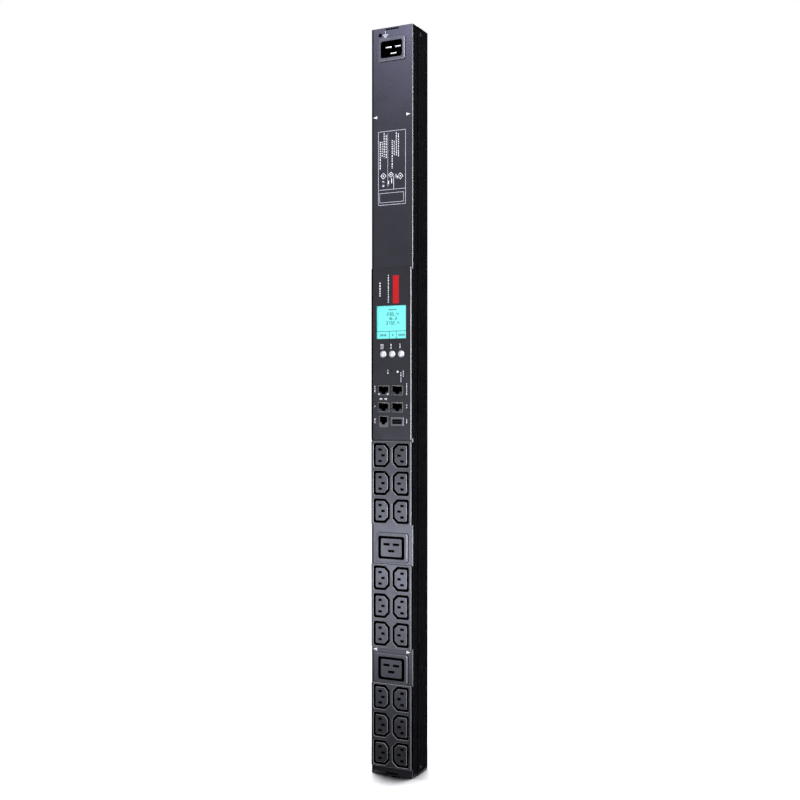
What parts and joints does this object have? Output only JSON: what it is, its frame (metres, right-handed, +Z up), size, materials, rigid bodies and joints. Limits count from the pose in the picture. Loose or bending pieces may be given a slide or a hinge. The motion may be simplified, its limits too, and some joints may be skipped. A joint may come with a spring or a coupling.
{
  "type": "rack power distribution unit",
  "caption": "Tall slim rack power strip: folded black metal case with a supply inlet at the top, a panel with display, buttons and jacks, and recessed outlets down the front.",
  "frame": {"origin": "centre of the bottom end, half way across the width and half way through the case's depth", "axes": "+Z up the unit towards the inlet end, -Y out of the outlet face, +X to the right seen from the front"},
  "size_m": [0.0602, 0.053, 0.914],
  "materials": {
    "black_coat": "satin black powder coat",
    "plated_steel": "bright plated",
    "inlet_plastic": "satin moulded",
    "pin_metal": "nickel plated",
    "panel_plastic": "fine texture",
    "outlet_plastic": "fine texture",
    "clear_window": "clear polished",
    "screen": "backlit",
    "white_plastic": "moulded",
    "button_plastic": "satin moulded",
    "dark_plastic": "moulded",
    "light_plastic": "clear moulded",
    "contact_brass": "stamped",
    "board_green": "solder mask",
    "wire_brown": "insulation",
    "wire_blue": "insulation",
    "wire_green": "insulation"
  },
  "bodies": {
    "unit": {"bottom_end_cap": "black_coat", "control_bezel": "panel_plastic", "control_board": "board_green", "cover_screws": "black_coat", "current_sensor": "dark_plastic", "display_holder": "white_plastic", "display_panel": "screen", "display_window": "clear_window", "earth_nut": "plated_steel", "earth_strip_lower": "contact_brass", "earth_strip_middle": "contact_brass", "earth_strip_upper": "contact_brass", "earth_wire": "wire_green", "front_channel": "black_coat", "inlet_body": "inlet_plastic", "inlet_earth_pin": "pin_metal", "inlet_line_pin": "pin_metal", "inlet_neutral_pin": "pin_metal", "key_switches": "dark_plastic", "large_contacts_lower": "contact_brass", "large_contacts_upper": "contact_brass", "large_outlet_lower": "outlet_plastic", "large_outlet_upper": "outlet_plastic", "line_strip_lower": "contact_brass", "line_strip_middle": "contact_brass", "line_strip_upper": "contact_brass", "line_wire": "wire_brown", "link_in_jack": "dark_plastic", "link_out_jack": "dark_plastic", "metering_board": "board_green", "metering_standoffs": "white_plastic", "mounting_pegs": "plated_steel", "network_jack": "dark_plastic", "neutral_strip_lower": "contact_brass", "neutral_strip_middle": "contact_brass", "neutral_strip_upper": "contact_brass", "neutral_wire": "wire_blue", "outlet_block_lower": "outlet_plastic", "outlet_block_middle": "outlet_plastic", "outlet_block_upper": "outlet_plastic", "outlet_cover_lower": "dark_plastic", "outlet_cover_middle": "dark_plastic", "outlet_cover_upper": "dark_plastic", "power_converter": "dark_plastic", "rear_channel": "black_coat", "sensor_jack": "dark_plastic", "serial_jack": "dark_plastic", "status_light_pipe": "light_plastic", "top_end_cap": "black_coat", "usb_port": "dark_plastic", "usb_tongue": "white_plastic"},
    "menu_button_body": {"menu_button": "button_plastic"},
    "scroll_button_body": {"scroll_button": "button_plastic"},
    "select_button_body": {"select_button": "button_plastic"},
    "reset_plunger_body": {"reset_plunger": "dark_plastic"}
  },
  "joints": [
    {"name": "menu_button_press", "type": "slide", "parent": "unit", "child": "menu_button_body", "axis": [0, 1, 0], "range_m": [0, 0.0008], "stiffness_N_per_m": 400, "springref_m": -0.0006},
    {"name": "scroll_button_press", "type": "slide", "parent": "unit", "child": "scroll_button_body", "axis": [0, 1, 0], "range_m": [0, 0.0008], "stiffness_N_per_m": 400, "springref_m": -0.0006},
    {"name": "select_button_press", "type": "slide", "parent": "unit", "child": "select_button_body", "axis": [0, 1, 0], "range_m": [0, 0.0008], "stiffness_N_per_m": 400, "springref_m": -0.0006},
    {"name": "reset_plunger_press", "type": "slide", "parent": "unit", "child": "reset_plunger_body", "axis": [0, 1, 0], "range_m": [0, 0.0005], "stiffness_N_per_m": 400, "springref_m": -0.0006}
  ]
}
